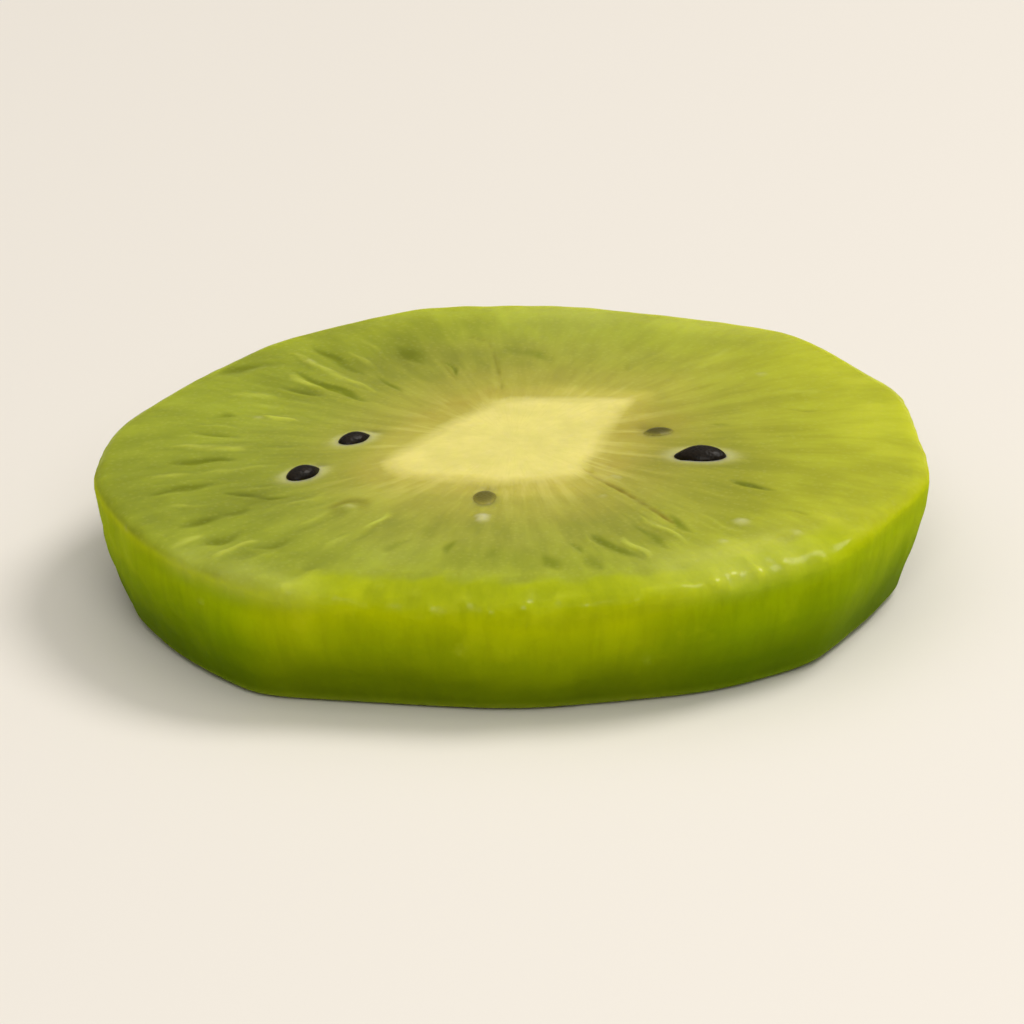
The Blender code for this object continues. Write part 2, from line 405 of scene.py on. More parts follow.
def fall_at(share, angle):
    """How far the upper face has fallen away at one place."""
    shoulder = SHOULDER_DROP * smoothstep(SHOULDER_START, 1, share)
    out = np.clip((share - BITE_START) / (1 - BITE_START), 0, 1)
    reach = out * (1 - BITE_ROUNDING + BITE_ROUNDING * out)
    return CROWN * share**2 + shoulder + bite_depth(angle) * reach


def half_section():
    """Points (radius, height) of the blank, from the middle of its top to that of its bottom."""
    flat_top = 1 - TOP_RIM / BLANK_RADIUS
    shares = [CORE_SHARE * i / CORE_RINGS for i in range(CORE_RINGS)]
    shares += [CORE_SHARE + (flat_top - CORE_SHARE) * i / FLESH_RINGS for i in range(FLESH_RINGS)]
    points = [(BLANK_RADIUS * share, THICKNESS) for share in shares]
    for i in range(RIM_RINGS):
        turn = math.pi / 2 * i / RIM_RINGS
        out = BLANK_RADIUS - TOP_RIM * (1 - math.sin(turn))
        points.append((out, THICKNESS - TOP_RIM * (1 - math.cos(turn))))
    side_height = THICKNESS - TOP_RIM - BOTTOM_RIM
    for i in range(SIDE_RINGS):
        points.append((BLANK_RADIUS, BOTTOM_RIM + side_height * (1 - i / SIDE_RINGS)))
    for i in range(RIM_RINGS):
        turn = math.pi / 2 * i / RIM_RINGS
        out = BLANK_RADIUS - BOTTOM_RIM * (1 - math.cos(turn))
        points.append((out, BOTTOM_RIM * (1 - math.sin(turn))))
    flat_bottom = BLANK_RADIUS - BOTTOM_RIM
    points += [(flat_bottom * (1 - i / BOTTOM_RINGS), 0.0) for i in range(BOTTOM_RINGS + 1)]
    return points


def deselect_all():
    bpy.ops.object.select_all(action="DESELECT")


def turn_blank():
    """The half section is drawn point by point and spun round the fruit's axis."""
    deselect_all()
    bpy.ops.mesh.primitive_plane_add(size=MM)
    blank = bpy.context.object
    blank.name = "kiwi_flesh"
    blank.data.name = "kiwi_flesh"
    bpy.ops.object.mode_set(mode="EDIT")
    bpy.ops.mesh.select_all(action="SELECT")
    bpy.ops.mesh.merge(type="CENTER")
    points = half_section()
    bpy.ops.transform.translate(value=(points[0][0], 0, points[0][1]))
    for (start_out, start_up), (end_out, end_up) in zip(points, points[1:]):
        step = (end_out - start_out, 0, end_up - start_up)
        bpy.ops.mesh.extrude_vertices_move(TRANSFORM_OT_translate={"value": step})
    bpy.ops.mesh.select_all(action="SELECT")
    bpy.ops.mesh.spin(steps=COLUMNS, angle=math.tau, center=(0, 0, 0), axis=(0, 0, 1))
    bpy.ops.mesh.select_all(action="SELECT")
    bpy.ops.mesh.remove_doubles(threshold=1e-6)
    bpy.ops.mesh.normals_make_consistent(inside=False)
    bpy.ops.object.mode_set(mode="OBJECT")
    return blank


def mesh_points(mesh):
    flat = np.empty(len(mesh.vertices) * 3)
    mesh.vertices.foreach_get("co", flat)
    return flat.reshape(-1, 3)


def write_attribute(mesh, name, values):
    layer = mesh.attributes.new(name, "FLOAT", "POINT")
    layer.data.foreach_set("value", np.asarray(values, dtype=np.float32))


# -------------------------------- relief of the cut faces


def along_line(x, y, start, end):
    """Share of the way along a line, and distance from it, for points in millimetres."""
    run = np.subtract(end, start)
    length = math.hypot(*run)
    along = ((x - start[0]) * run[0] + (y - start[1]) * run[1]) / length**2
    nearest = np.clip(along, 0, 1)
    away = np.hypot(x - start[0] - nearest * run[0], y - start[1] - nearest * run[1])
    return along, away


def streak_shape(x, y, start, end, half_width):
    """A lens: full in its middle and thin at both ends."""
    along, away = along_line(x, y, start, end)
    middle = np.clip(1 - (2 * along - 1) ** 2, 0, 1)
    width = half_width * (0.3 + 0.7 * middle)
    return fading(away, width) * middle**0.8


def filling_streaks(random, filling):
    """Seeded streaks on spokes, each with its own ends, width and height."""
    count, height = filling
    streaks = []
    for i in range(count):
        angle = math.tau * (i + random.uniform(-0.4, 0.4)) / count
        inner = random.uniform(11.5, 15.0)
        outer = min(inner + random.uniform(3.0, 7.5), 21.0)
        bend = random.uniform(-0.03, 0.03)
        start = (outer * math.cos(angle + bend), outer * math.sin(angle + bend))
        end = (inner * math.cos(angle), inner * math.sin(angle))
        strength = 0.6 + 0.4 * math.cos(angle - STRONGEST_STREAKS)
        sign = -1 if i % 2 else 1
        rise = sign * height * strength * random.uniform(0.4, 1.0)
        streaks.append((start, end, random.uniform(0.28, 0.5), rise))
    return streaks


def streak_relief(x, y, streaks):
    relief = np.zeros_like(x)
    for start, end, half_width, height in streaks:
        relief += height * streak_shape(x, y, start, end, half_width)
    return relief


def crack_shape(x, y, points, half_width):
    """How deep in a crack a place is, and how near it is to the crack's lips."""
    away = np.min([along_line(x, y, a, b)[1] for a, b in zip(points, points[1:])], axis=0)
    return fading(away, half_width), fading(away - 2.4 * half_width, 1.3 * half_width)


def seed_distance(x, y, seed_x, seed_y, turn, length):
    """Distance from a seed's middle, 1 at its outline."""
    pointing = math.radians(turn)
    along = (x - seed_x) * math.cos(pointing) + (y - seed_y) * math.sin(pointing)
    across = (y - seed_y) * math.cos(pointing) - (x - seed_x) * math.sin(pointing)
    half = length / 2
    return np.hypot(along / half, across / (half * SEED_WIDTH))


def soft_patches(x, y, patches):
    """Round patches that fade out, each with its own place, reach and strength."""
    total = np.zeros_like(x)
    for patch_x, patch_y, reach, strength in patches:
        total += strength * fading(np.hypot(x - patch_x, y - patch_y), reach)
    return total


def gentle_waves(x, y, random, waves):
    """A low swell made of waves in all directions, between about -1 and 1."""
    count, longest, shortest = waves
    swell = np.zeros_like(x)
    for _ in range(count):
        direction = random.uniform(0, math.tau)
        pitch = math.tau / random.uniform(shortest, longest)
        phase = random.uniform(0, math.tau)
        swell += np.sin(pitch * (x * math.cos(direction) + y * math.sin(direction)) + phase)
    return swell / math.sqrt(count)


class Places:
    """Where the blank's points come to lie once the knife has cut them, and on what."""

    def __init__(self, blank):
        self.angle = np.arctan2(blank[:, 1], blank[:, 0]) % math.tau
        self.share = np.hypot(blank[:, 0], blank[:, 1]) / BLANK_RADIUS
        self.up = blank[:, 2]
        self.height = self.up * (1 - fall_at(self.share, self.angle) / THICKNESS)
        bites = bite_depth(self.angle)
        self.bitten = np.clip(bites / FULL_BITE, 0, 1)
        self.slumped = np.clip(bites / SLIGHT_BITE, 0, 1)
        inset = (RIM_INSET + BITTEN_INSET * self.bitten) * MM
        near_rim = smoothstep(0.45, 0.98, self.height / THICKNESS) * smoothstep(0.86, 1, self.share)
        radius = radius_at(self.share, self.angle, self.height) - inset * near_rim
        self.x = radius * np.cos(self.angle)
        self.y = radius * np.sin(self.angle)
        self.x_mm = (self.x - FACE_MIDDLE[0]) / MM
        self.y_mm = (self.y - FACE_MIDDLE[1]) / MM
        self.top = smoothstep(THICKNESS - TOP_RIM, THICKNESS, self.up)
        self.bottom = smoothstep(BOTTOM_RIM, 0, self.up)
        self.side = 1 - self.top - self.bottom
        self.core = 1 - smoothstep(CORE_SHARE - 0.045, CORE_SHARE + 0.05, self.share)
        self.ring = smoothstep(0.36, 0.46, self.share) * (1 - smoothstep(0.84, 0.95, self.share))

    def waves(self, random, waves):
        """Soft unevenness over the faces."""
        return gentle_waves(self.x_mm, self.y_mm, random, waves)

    def none(self):
        return np.zeros_like(self.x)


def rim_lumps(places, random):
    """Soft lumps along the rim, most of them where the knife bit into it and at the front."""
    lumps = places.waves(random, LUMP_WAVES) * smoothstep(0.80, 0.90, places.share)
    front = smoothstep(-0.1, 0.6, -np.sin(places.angle))
    return lumps * (0.15 + 0.85 * np.maximum(places.bitten, 0.75 * front))


def crack_relief(places, random):
    """Height of the cracks, how deep in one a place is, and how brown it has turned."""
    crack = places.none()
    brown = places.none()
    lips = places.none()
    groove = places.none()
    broken = 0.55 + 0.45 * places.waves(random, CRACK_GAP_WAVES)
    for points, half_width, depth, browned in CRACKS:
        inside, lip = crack_shape(places.x_mm, places.y_mm, points, half_width)
        inside = inside * np.clip(broken, 0.1, 1)
        lip = lip * np.clip(1.1 - broken, 0, 1)
        groove += depth * inside
        lips += lip * depth / 0.12
        crack = np.maximum(crack, inside)
        brown = np.maximum(brown, inside * browned)
    return CRACK_LIP * lips - groove, crack, brown


def seed_surroundings(places):
    """Flesh that is pushed up round each bare seed, and the pale ring round it."""
    halo = places.none()
    collar = places.none()
    for seed_x, seed_y, turn, length, _, film in TOP_SEEDS:
        if film == 0:
            seed_x -= FACE_MIDDLE[0] / MM
            seed_y -= FACE_MIDDLE[1] / MM
            away = seed_distance(places.x_mm, places.y_mm, seed_x, seed_y, turn, length)
            halo = np.maximum(halo, fading(np.maximum(away - 1, 0), 0.5))
            collar += SEED_COLLAR * fading(away - 1.3, 0.35)
    return collar, halo


def socket_relief(drift_x, drift_y):
    """The empty socket: a raised middle, and a furrow round it, whose painted shade shows as a dark
    loop.
    """
    across = drift_x - EMPTY_SOCKET[0]
    along = drift_y - EMPTY_SOCKET[1]
    away = np.hypot(across, along / 1.5)
    turned = np.arctan2(along, across) - SOCKET_FURROW
    loop = fading(away - 0.85, 0.30) * (0.55 + 0.45 * np.cos(turned))
    return SOCKET_RISE * fading(away, 0.5) - SOCKET_DEPTH * loop, loop


def painted_pit_shade(places):
    """How dark the painted shade in the hollows behind half-buried seeds is."""
    pit = places.none()
    for pit_x, pit_y, reach, depth in PITS:
        away = np.hypot(places.x_mm - pit_x, places.y_mm - pit_y)
        pit = np.maximum(pit, depth / BLACK_PIT * fading(away, 0.9 * reach))
    return pit


def underside_seeds(places):
    """How near a place is to a seed that is cut level with the lower face."""
    near = places.none()
    for seed_x, seed_y, turn, length in BOTTOM_SEEDS:
        away = seed_distance(places.x_mm, places.y_mm, seed_x, seed_y, turn, length)
        near = np.maximum(near, fading(np.maximum(away - 0.9, 0), 0.25))
    return near


def side_dents(places, random):
    """Shallow dents of the peeled side."""
    round_mm = places.angle * BLANK_RADIUS / MM
    up_mm = places.up / MM
    dents = gentle_waves(round_mm, up_mm, random, DENT_WAVES)
    return dents + SMALL_DENTS * gentle_waves(round_mm, up_mm, random, SMALL_DENT_WAVES)


def shape_flesh(flesh):
    """Cuts the blank to its outline, adds the relief, and leaves what the colours need on it."""
    mesh = flesh.data
    places = Places(mesh_points(mesh))
    x_mm = places.x_mm
    y_mm = places.y_mm
    top = places.top
    bottom = places.bottom
    side = places.side
    random = np.random.default_rng(7)

    drift_x = x_mm + STREAK_WANDER * places.waves(random, WANDER_WAVES)
    drift_y = y_mm + STREAK_WANDER * places.waves(random, WANDER_WAVES)
    streaks = list(STREAKS) + filling_streaks(random, TOP_FILLING)
    top_streaks = streak_relief(drift_x, drift_y, streaks)
    bottom_streaks = streak_relief(x_mm, y_mm, filling_streaks(random, BOTTOM_FILLING))
    bottom_streaks = bottom_streaks * places.ring
    swell = places.waves(random, SWELL_WAVES) * (1 - places.core * 0.7)
    lumps = rim_lumps(places, random)
    broken_edge = RIM_EDGE_WANDER * places.waves(random, RIM_EDGE_WAVES)
    cracked, crack, brown = crack_relief(places, random)
    dents = side_dents(places, random)
    collar, halo = seed_surroundings(places)
    socket, loop = socket_relief(drift_x, drift_y)
    below = underside_seeds(places)

    relief = STREAK_DEPTH * top_streaks + SWELL_HEIGHT * swell + LUMP_HEIGHT * lumps
    relief += collar + socket + cracked - soft_patches(x_mm, y_mm, PITS)
    underside = np.maximum(UNDERSIDE_RELIEF - bottom_streaks, 0) * places.ring
    underside += UNDERSIDE_SEED_RISE * below
    height = places.height + top * (relief * MM + CORE_RISE * places.core)
    height = height + bottom * underside * MM
    outward = side * DENT_HEIGHT * MM * dents
    x = places.x - BOX_MIDDLE[0] + outward * np.cos(places.angle)
    y = places.y - BOX_MIDDLE[1] + outward * np.sin(places.angle)
    mesh.vertices.foreach_set("co", np.stack([x, y, height], axis=1).ravel())
    mesh.update()

    shoulder = top * places.slumped * smoothstep(0.84, 0.94, places.share + broken_edge)
    foot = bottom * smoothstep(0.92, 0.98, places.share)
    all_streaks = top * top_streaks + bottom * bottom_streaks
    upper = smoothstep(0.72, 0.92, height / THICKNESS)
    marks = {
        "share": places.share,
        "side": side + shoulder + foot,
        "core": places.core,
        "face": top + bottom,
        "streak": np.clip(all_streaks / DEEPEST_STREAK, -1.5, 1.5),
        "crack": top * crack,
        "brown": top * brown,
        "halo": np.maximum(top * halo, bottom * below * 0.8),
        "loop": top * loop,
        "stain": top * soft_patches(x_mm, y_mm, STAINS),
        "lighter": top * soft_patches(x_mm, y_mm, PATCHES),
        # painted highlight on stretches of the upper rim
        "rim_highlight": soft_patches(x_mm, y_mm, RIM_HIGHLIGHTS) * upper,
        "pit": top * painted_pit_shade(places),
    }
    for name, values in marks.items():
        write_attribute(mesh, name, values)
    bpy.ops.object.shade_smooth()


# -------------------------------- node helpers


class Nodes:
    """Short words for building one material's node tree."""

    def __init__(self, name):
        self.material = bpy.data.materials.new(name)
        self.material.use_nodes = True
        self.tree = self.material.node_tree
        self.shader = self.tree.nodes["Principled BSDF"]

    def add(self, kind, **settings):
        node = self.tree.nodes.new(kind)
        for key, value in settings.items():
            setattr(node, key, value)
        return node

    def link(self, source, target):
        self.tree.links.new(source, target)

    def feed(self, socket, value):
        """A socket takes a number, a colour or another node's output."""
        if isinstance(value, bpy.types.NodeSocket):
            self.link(value, socket)
        else:
            socket.default_value = value

    def attribute(self, name):
        return self.add("ShaderNodeAttribute", attribute_name=name).outputs["Fac"]

    def math(self, operation, first, second=0.0, clamp=False):
        node = self.add("ShaderNodeMath", operation=operation, use_clamp=clamp)
        self.feed(node.inputs[0], first)
        self.feed(node.inputs[1], second)
        return node.outputs[0]

    def times(self, first, second):
        return self.math("MULTIPLY", first, second)

    def plus(self, first, second):
        return self.math("ADD", first, second)

    def vector(self, operation, *values):
        node = self.add("ShaderNodeVectorMath", operation=operation)
        for socket, value in zip(node.inputs, values):
            self.feed(socket, value)
        return node.outputs["Value" if operation == "LENGTH" else "Vector"]

    def parts(self, vector):
        node = self.add("ShaderNodeSeparateXYZ")
        self.link(vector, node.inputs[0])
        return node.outputs

    def spread(self, value, low, high, to_low=0.0, to_high=1.0, ease="SMOOTHSTEP"):
        """Maps low..high to to_low..to_high, and stops at both ends."""
        node = self.add("ShaderNodeMapRange", interpolation_type=ease)
        self.feed(node.inputs["Value"], value)
        node.inputs["From Min"].default_value = low
        node.inputs["From Max"].default_value = high
        node.inputs["To Min"].default_value = to_low
        node.inputs["To Max"].default_value = to_high
        return node.outputs["Result"]

    def mix(self, share, first, second, blend="MIX"):
        node = self.add("ShaderNodeMix", data_type="RGBA", blend_type=blend)
        self.feed(node.inputs[0], share)
        self.feed(node.inputs[6], first)
        self.feed(node.inputs[7], second)
        return node.outputs[2]

    def ramp(self, value, stops, interpolation="EASE"):
        node = self.add("ShaderNodeValToRGB")
        node.color_ramp.interpolation = interpolation
        elements = node.color_ramp.elements
        while len(elements) < len(stops):
            elements.new(0.5)
        for element, (place, colour) in zip(elements, stops):
            element.position = place
            element.color = colour
        self.feed(node.inputs[0], value)
        return node.outputs[0]

    def noise(self, vector, scale, detail=3.0, roughness=0.5):
        node = self.add("ShaderNodeTexNoise")
        self.feed(node.inputs["Vector"], vector)
        node.inputs["Scale"].default_value = scale
        node.inputs["Detail"].default_value = detail
        node.inputs["Roughness"].default_value = roughness
        return node.outputs["Fac"]

    def bump(self, height, distance, strength=1.0):
        node = self.add("ShaderNodeBump")
        node.inputs["Strength"].default_value = strength
        node.inputs["Distance"].default_value = distance
        self.link(height, node.inputs["Height"])
        return node.outputs["Normal"]

    def finish(self, values):
        """Sets what is the same all over the surface on the shader's own sockets."""
        for name, value in values.items():
            self.shader.inputs[name].default_value = value


def place_in_mm(nodes):
    """The surface's own place, in millimetres from the middle of the faces."""
    place = nodes.add("ShaderNodeTexCoord").outputs["Object"]
    away_x = (BOX_MIDDLE[0] - FACE_MIDDLE[0]) / MM
    away_y = (BOX_MIDDLE[1] - FACE_MIDDLE[1]) / MM
    return nodes.vector("MULTIPLY_ADD", place, (1 / MM, 1 / MM, 1 / MM), (away_x, away_y, 0))


def spoke_place(nodes, place, across, along):
    """A place that runs along the spokes: patterns on it are drawn out from the middle."""
    flat = nodes.vector("MULTIPLY", place, (1, 1, 0))
    heading = nodes.vector("NORMALIZE", flat)
    outward = nodes.math("SUBTRACT", nodes.vector("LENGTH", flat), nodes.parts(place)["Z"])
    lift = nodes.add("ShaderNodeCombineXYZ")
    nodes.link(nodes.times(outward, along), lift.inputs["Z"])
    wide = nodes.vector("MULTIPLY", heading, (across, across, across))
    return nodes.vector("ADD", wide, lift.outputs[0])


def cells(nodes, vector, scale):
    """Distance from the middle of the nearest of many small cells."""
    node = nodes.add("ShaderNodeTexVoronoi")
    nodes.link(vector, node.inputs["Vector"])
    node.inputs["Scale"].default_value = scale
    return node.outputs["Distance"]


# -------------------------------- materials


# The cut faces' colours, by the share of the way from the axis to the side.
ZONES = (
    (0.29, (0.520, 0.450, 0.092, 1)),
    (0.35, (0.440, 0.390, 0.066, 1)),
    (0.44, (0.335, 0.320, 0.046, 1)),
    (0.62, (0.272, 0.285, 0.034, 1)),
    (0.80, (0.268, 0.302, 0.024, 1)),
    (0.92, (0.318, 0.362, 0.024, 1)),
    (1.00, (0.340, 0.400, 0.012, 1)),
)
# Greens for the left and right of the faces: the fruit's own cooler and warmer greens, darkened at
# the left and lightened at the right as painted light from the right.
COOL_SHADED_GREEN = (0.222, 0.262, 0.022, 1)
WARM_LIT_GREEN = (0.415, 0.428, 0.022, 1)
# Streak colours: the flesh's own darker and paler streaks, with painted shade in the furrows and
# painted light on the ridges.
SHADED_FURROW_GREEN = (0.145, 0.172, 0.006, 1)
LIT_RIDGE_GREEN = (0.385, 0.415, 0.055, 1)
JUICE_CELL = (0.50, 0.52, 0.12, 1)
STAIN_YELLOW = (0.335, 0.275, 0.040, 1)
# What the relief leaves on the mesh: how strongly it shows, and its colour.
# Pit, crack and loop are painted shade in hollows and grooves; pale is a painted glint on wet
# bumps.
MARKS = (
    ("pit", 0.8, (0.10, 0.085, 0.015, 1)),
    ("halo", 0.6, (0.52, 0.50, 0.22, 1)),
    ("crack", 0.55, (0.20, 0.19, 0.014, 1)),
    ("brown", 0.65, (0.225, 0.160, 0.013, 1)),
    ("loop", 0.75, (0.20, 0.185, 0.016, 1)),
    ("pale", 0.8, (0.50, 0.48, 0.24, 1)),
)
CORE_RAYS = (0.58, 0.52, 0.13, 1)
CORE_DARK = (0.66, 0.585, 0.155, 1)
CORE_LIGHT = (0.76, 0.67, 0.19, 1)
CORE_THREADS = (0.62, 0.55, 0.13, 1)
# The peeled side's colours, from its foot to the upper rim, with painted shade
# towards the foot and painted light just under the rim.
SIDE_HEIGHT = 8.4  # in millimetres, where the last of them is reached
SIDE_SHADED_COLOURS = (
    (0.00, (0.091, 0.133, 0.002, 1)),
    (0.25, (0.131, 0.184, 0.001, 1)),
    (0.50, (0.250, 0.318, 0.001, 1)),
    (0.75, (0.415, 0.468, 0.001, 1)),
    (1.00, (0.368, 0.420, 0.004, 1)),
)
# Colour of a painted light line along the foot of the side.
FOOT_LIGHT_LINE_GREEN = (0.250, 0.320, 0.014, 1)
SIDE_THREADS = (0.170, 0.225, 0.001, 1)
SIDE_FINE_THREADS = (0.110, 0.160, 0.001, 1)
SIDE_PATCHES = (0.470, 0.515, 0.008, 1)
# Painted shade that darkens the side towards its left and right ends.
SIDE_ENDS_SHADE = (0.72, 0.84, 0.5, 1)
# Colour of the painted rim highlights.
RIM_HIGHLIGHT_COLOUR = (0.56, 0.58, 0.16, 1)
FLESH_FINISH = {
    "IOR": 1.36,
    "Specular IOR Level": 0.0,
    "Specular Tint": (0.85, 0.92, 0.30, 1),
    "Coat Roughness": 0.2,
    "Coat IOR": 1.34,
    "Subsurface Weight": 1.0,
    "Subsurface Radius": (2.4, 2.2, 0.35),  # how far each colour of light gets, in millimetres
    "Subsurface Scale": MM,
}

SEED_BLACK = (0.0012, 0.001, 0.0007, 1)
SEED_PITS = (0.008, 0.005, 0.002, 1)
SEED_BROWN = (0.016, 0.009, 0.003, 1)
SEED_FILM = (0.29, 0.26, 0.036, 1)
SEED_FINISH = {
    "Roughness": 0.4,
    "Specular IOR Level": 0.12,
    "Coat Weight": 0.06,
    "Coat Roughness": 0.05,
}
FLOOR_FINISH = {"Base Color": (0.84, 0.80, 0.74, 1), "Roughness": 0.6}


class FleshPatterns:
    """The patterns that the flesh's colours and fine relief share."""

    def __init__(self, nodes):
        place = place_in_mm(nodes)
        self.across = nodes.parts(place)["X"]
        self.up = nodes.parts(place)["Z"]
        self.fibres = nodes.noise(spoke_place(nodes, place, 11.0, 0.20), 1.0, 3.0, 0.5)
        self.fine_fibres = nodes.noise(spoke_place(nodes, place, 40.0, 0.45), 1.0, 2.0, 0.5)
        self.cloud = nodes.noise(place, 0.16, 2.0, 0.5)
        self.mottle = nodes.noise(place, 0.50, 3.0, 0.55)
        self.grain = cells(nodes, place, 2.4)


def face_colours(nodes, patterns):
    """Rings of colour from the core to the rim, darker and cooler at the left, lighter and warmer
    at the right: the fruit's own greens with painted light from the right.
    """
    wander = nodes.times(nodes.math("SUBTRACT", patterns.mottle, 0.5), 0.09)
    colour = nodes.ramp(nodes.plus(nodes.attribute("share"), wander), ZONES)
    # painted shade towards the left and painted light towards the right, over the fruit's own
    # change of colour
    colour = nodes.mix(nodes.spread(patterns.across, -3, -18, 0.0, 0.75), colour, COOL_SHADED_GREEN)
    colour = nodes.mix(nodes.spread(patterns.across, 4, 22, 0.0, 0.62), colour, WARM_LIT_GREEN)
    broken = nodes.spread(patterns.fibres, 0.35, 0.62, 0.55, 1.1)
    streak = nodes.times(nodes.attribute("streak"), broken)
    # furrows darker and ridges lighter: painted shade and painted light over the relief, on the
    # flesh's own streaks
    colour = nodes.mix(nodes.spread(streak, -0.05, -1.1, 0.0, 0.92), colour, SHADED_FURROW_GREEN)
    return nodes.mix(nodes.spread(streak, 0.08, 1.0, 0.0, 0.6), colour, LIT_RIDGE_GREEN)


def face_tone(nodes, patterns):
    """How light the cut faces are: along the fibres, in soft clouds and in patches."""
    tone = nodes.times(
        nodes.spread(patterns.fibres, 0.32, 0.68, 0.90, 1.08),
        nodes.spread(patterns.fine_fibres, 0.3, 0.7, 0.97, 1.03),
    )
    outside_core = nodes.spread(nodes.attribute("share"), 0.3, 0.6, 0.35, 1.0)
    tone = nodes.mix(outside_core, (1, 1, 1, 1), tone)
    tone = nodes.times(tone, nodes.spread(patterns.cloud, 0.3, 0.7, 0.92, 1.06))
    tone = nodes.times(tone, nodes.plus(nodes.attribute("lighter"), 1.0))
    grey = nodes.add("ShaderNodeCombineXYZ")
    for axis in ("X", "Y", "Z"):
        nodes.link(tone, grey.inputs[axis])
    return grey.outputs[0]


def add_marks(nodes, colour, patterns):
    """Stains, painted shade in hollows, cracks and the socket's furrow, painted glints, and the
    rest of what the relief has left on the mesh.
    """
    patchy = nodes.spread(patterns.mottle, 0.35, 0.65, 0.35, 1.0)
    stain = nodes.times(nodes.attribute("stain"), patchy)
    colour = nodes.mix(stain, colour, STAIN_YELLOW)
    for name, strength, shade in MARKS:
        colour = nodes.mix(nodes.times(nodes.attribute(name), strength), colour, shade)
    return colour


def add_core(nodes, colour, patterns):
    """The pale core, its ragged edge, and the rays that run out from it."""
    core = nodes.attribute("core")
    near_core = nodes.spread(nodes.attribute("share"), 0.52, 0.30)
    rays = nodes.times(near_core, nodes.spread(patterns.fibres, 0.48, 0.70))
    colour = nodes.mix(nodes.times(rays, 0.45), colour, CORE_RAYS)
    heart = nodes.mix(nodes.spread(patterns.mottle, 0.2, 0.8), CORE_DARK, CORE_LIGHT)
    threads = nodes.spread(patterns.fine_fibres, 0.45, 0.7, 0.0, 0.25)
    heart = nodes.mix(threads, heart, CORE_THREADS)
    edge = nodes.times(core, nodes.math("SUBTRACT", 1.0, core, clamp=True))
    fray = nodes.plus(nodes.times(patterns.mottle, 0.9), nodes.times(patterns.fine_fibres, 0.3))
    fray = nodes.times(nodes.math("SUBTRACT", fray, 0.6), nodes.times(edge, 4.0))
    stained = nodes.times(nodes.attribute("stain"), 0.9)
    ragged = nodes.math("SUBTRACT", nodes.plus(core, fray), stained)
    return nodes.mix(nodes.spread(ragged, 0.05, 0.95, ease="LINEAR"), colour, heart)


def shaded_side_colours(nodes, patterns):
    """The peeled side, with painted light under the upper rim and painted shade towards its foot.
    """
    height = nodes.spread(patterns.up, 0.0, SIDE_HEIGHT, ease="LINEAR")
    wander = nodes.times(nodes.math("SUBTRACT", patterns.cloud, 0.5), 0.35)
    colour = nodes.ramp(nodes.plus(height, wander), SIDE_SHADED_COLOURS, "LINEAR")
    # painted light line along the foot
    colour = nodes.mix(nodes.spread(height, 0.11, 0.02, 0.0, 0.65), colour, FOOT_LIGHT_LINE_GREEN)
    threads = nodes.spread(patterns.fibres, 0.35, 0.75, 0.0, 0.18)
    colour = nodes.mix(threads, colour, SIDE_THREADS)
    fine = nodes.spread(patterns.fine_fibres, 0.42, 0.66, 0.0, 0.10)
    colour = nodes.mix(fine, colour, SIDE_FINE_THREADS)
    pale = nodes.spread(patterns.mottle, 0.50, 0.72, 0.0, 0.4)
    pale = nodes.times(pale, nodes.spread(height, 0.3, 0.8))
    colour = nodes.mix(pale, colour, SIDE_PATCHES)
    # painted shade: the side darker towards its left and right ends, below its upper rim
    left_end = nodes.spread(patterns.across, -13, -17.5)
    right_end = nodes.spread(patterns.across, 6, 14)
    ends = nodes.math("MAXIMUM", left_end, right_end)
    ends = nodes.times(ends, nodes.spread(height, 0.97, 0.80))
    return nodes.mix(ends, colour, SIDE_ENDS_SHADE, "MULTIPLY")


def fine_relief(nodes, patterns):
    """Fibres and cells of the flesh, which are weaker on the core and on the peeled side."""
    side = nodes.attribute("side")
    relief = nodes.plus(nodes.times(patterns.fine_fibres, 0.03), nodes.times(patterns.fibres, 0.10))
    relief = nodes.times(relief, nodes.spread(nodes.attribute("core"), 0.0, 1.0, 1.0, 0.3))
    relief = nodes.times(relief, nodes.spread(side, 0.0, 1.0, 1.0, 0.4))
    relief = nodes.plus(relief, nodes.times(patterns.grain, 0.03))
    relief = nodes.plus(relief, nodes.times(patterns.mottle, nodes.times(side, 0.22)))
    return nodes.bump(relief, MM)


def flesh_material():
    """Wet, see-through flesh: pale core, green ring with streaks, lighter rim with painted
    highlights, and green side with painted light and shade.
    """
    nodes = Nodes("wet_kiwi_flesh")
    patterns = FleshPatterns(nodes)
    colour = face_colours(nodes, patterns)
    colour = nodes.mix(1.0, colour, face_tone(nodes, patterns), "MULTIPLY")
    colour = nodes.mix(nodes.spread(patterns.grain, 0.05, 0.45, 0.10, 0.0), colour, JUICE_CELL)
    colour = add_marks(nodes, colour, patterns)
    colour = add_core(nodes, colour, patterns)
    peeled = nodes.spread(nodes.attribute("side"), 0.25, 0.95)
    colour = nodes.mix(peeled, colour, shaded_side_colours(nodes, patterns))
    # painted highlight on stretches of the rim
    colour = nodes.mix(nodes.attribute("rim_highlight"), colour, RIM_HIGHLIGHT_COLOUR)
    roughness = nodes.spread(patterns.mottle, 0.3, 0.7, 0.34, 0.48)
    wet = nodes.spread(nodes.attribute("face"), 0.6, 1.0, 0.05, 0.37)
    wet = nodes.math("ADD", wet, nodes.times(nodes.attribute("glint"), 0.45), clamp=True)
    shader = nodes.shader.inputs
    nodes.link(colour, shader["Base Color"])
    nodes.link(roughness, shader["Roughness"])
    nodes.link(fine_relief(nodes, patterns), shader["Normal"])
    nodes.link(wet, shader["Coat Weight"])
    nodes.finish(FLESH_FINISH)
    return nodes.material


